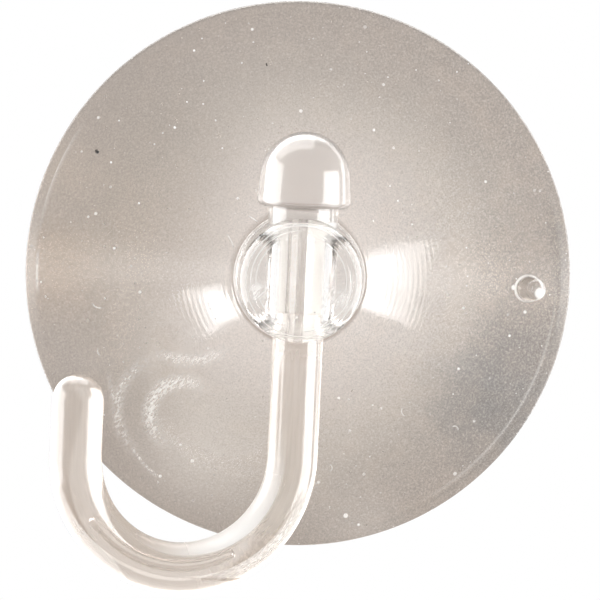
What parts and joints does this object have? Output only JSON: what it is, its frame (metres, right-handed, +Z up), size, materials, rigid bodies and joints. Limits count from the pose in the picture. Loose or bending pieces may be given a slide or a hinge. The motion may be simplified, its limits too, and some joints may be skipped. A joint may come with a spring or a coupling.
{
  "type": "suction cup hook",
  "caption": "Clear soft suction cup with a cross-bored knob that holds a clear swivelling J hook with a domed head.",
  "frame": {"origin": "centre of the rim's flat ring, in the plane of the wall that the cup sticks to", "axes": "+Y into the wall, -Y out to the front, +Z up along the hook's shank, +X to the right seen from the front"},
  "size_m": [0.06, 0.0231, 0.0635],
  "materials": {
    "clear_pvc": "smoky clear soft PVC, gloss",
    "clear_plastic": "water-clear rigid plastic, gloss"
  },
  "bodies": {
    "cup_body": {"suction_cup": "clear_pvc"},
    "hook_body": {"hook": "clear_plastic"}
  },
  "joints": [
    {"name": "hook_swivel", "type": "hinge", "parent": "cup_body", "child": "hook_body", "pos_m": [0, -0.01345, 0], "axis": [0, 0, 1], "range_deg": [-36, 182]}
  ]
}
